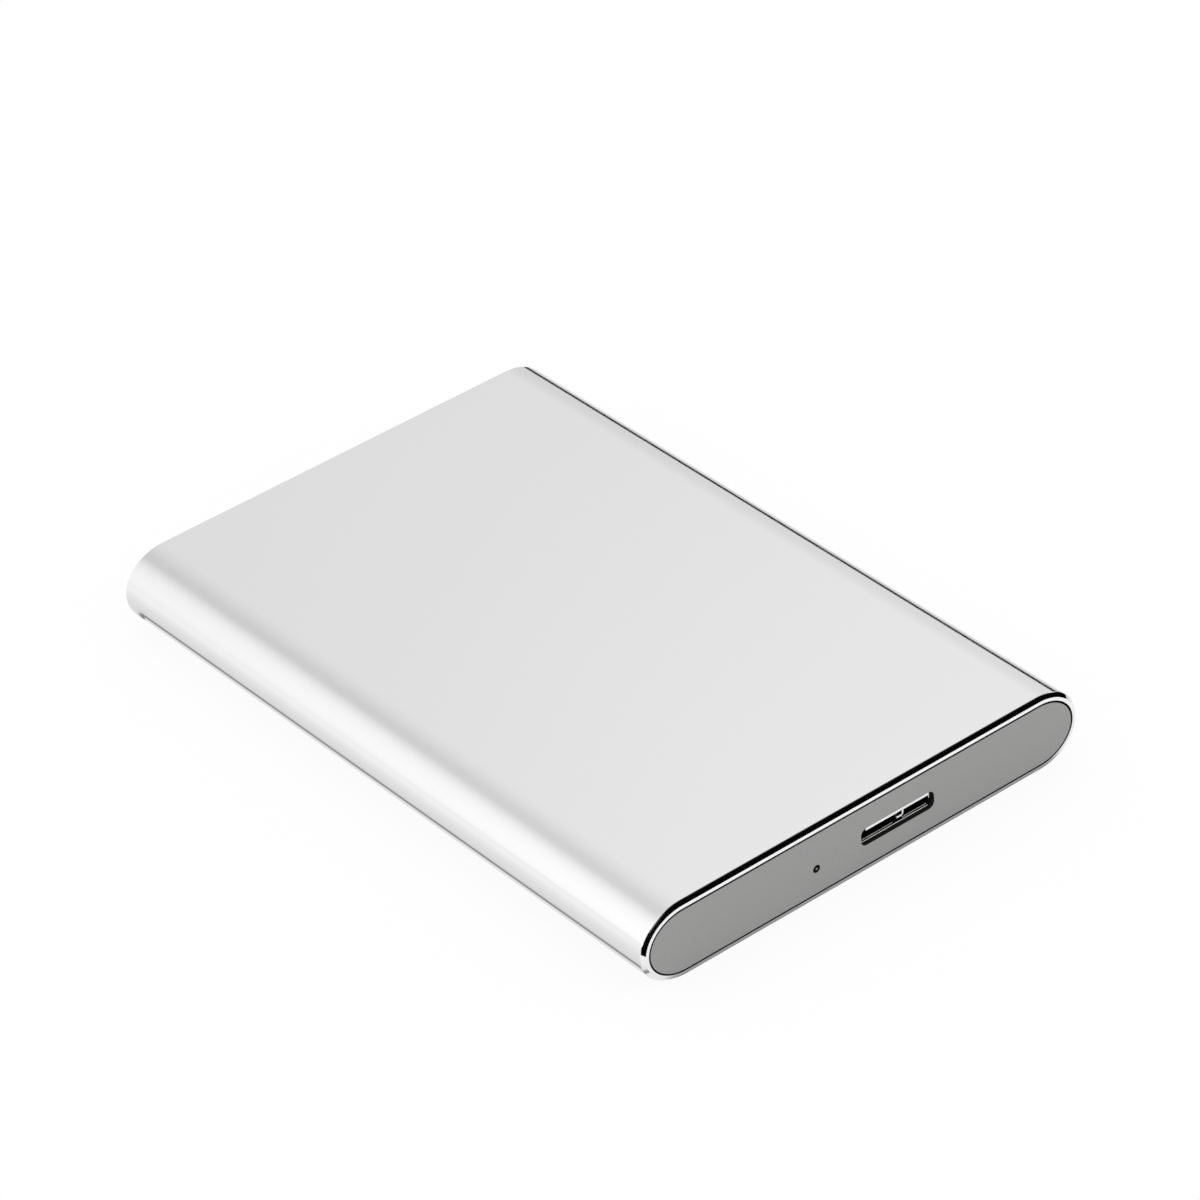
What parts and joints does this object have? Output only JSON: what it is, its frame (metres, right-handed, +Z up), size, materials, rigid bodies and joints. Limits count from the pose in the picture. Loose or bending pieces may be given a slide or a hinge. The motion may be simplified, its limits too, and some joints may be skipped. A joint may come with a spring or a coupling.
{
  "type": "portable solid state drive",
  "caption": "Flat metal sleeve with rounded long sides, closed by flush end plates, with a keyed data port and a small status light in the front plate.",
  "frame": {"origin": "centre of the box at the resting face", "axes": "+Y from the port end to the rear, +X to the right seen from the port end, +Z up"},
  "size_m": [0.076, 0.114, 0.012],
  "materials": {
    "sleeve_metal": "bead-blasted",
    "end_plate_grey": "fine matt",
    "tape_black": "adhesive foam tape",
    "moulding_black": "moulded",
    "foam_grey": "open foam",
    "port_steel": "plated sheet",
    "insulator_black": "moulded",
    "contact_gold": "gold plated",
    "circuit_board_green": "solder mask",
    "screw_steel": "zinc plated",
    "chip_resin": "moulded resin",
    "coil_ferrite": "ferrite",
    "capacitor_ceramic": "fired ceramic",
    "capacitor_tantalum": "moulded",
    "light_resin": "moulded",
    "light_pipe_clear": "clear",
    "drive_case_metal": "cast and blasted",
    "drive_lid_metal": "stamped",
    "thermal_pad_blue": "silicone"
  },
  "bodies": {
    "root": {"sleeve": "sleeve_metal", "front_plate": "end_plate_grey", "rear_plate": "end_plate_grey", "front_tape": "tape_black", "rear_tape": "tape_black", "tray": "moulding_black", "rear_cap": "moulding_black", "foam_pad": "foam_grey", "usb_shell": "port_steel", "usb_insulator": "insulator_black", "usb_contacts": "contact_gold", "bridge_board": "circuit_board_green", "board_screws": "screw_steel", "sata_receptacle": "insulator_black", "sata_contacts": "contact_gold", "bridge_chip": "chip_resin", "firmware_chip": "chip_resin", "crystal": "port_steel", "power_coil": "coil_ferrite", "regulator": "chip_resin", "bridge_capacitors": "capacitor_ceramic", "bridge_resistors": "chip_resin", "status_led": "light_resin", "light_pipe": "light_pipe_clear", "drive_base": "drive_case_metal", "drive_lid": "drive_lid_metal", "lid_screws": "screw_steel", "drive_screws": "screw_steel", "drive_board": "circuit_board_green", "module_screws": "screw_steel", "sata_plug": "insulator_black", "plug_contacts": "contact_gold", "controller_chip": "chip_resin", "memory_chip": "chip_resin", "drive_capacitors": "capacitor_tantalum", "thermal_pad": "thermal_pad_blue", "flash_chip_1": "chip_resin", "flash_chip_2": "chip_resin", "flash_chip_3": "chip_resin", "flash_chip_4": "chip_resin", "flash_chip_5": "chip_resin", "flash_chip_6": "chip_resin", "flash_chip_7": "chip_resin", "flash_chip_8": "chip_resin"}
  },
  "joints": []
}
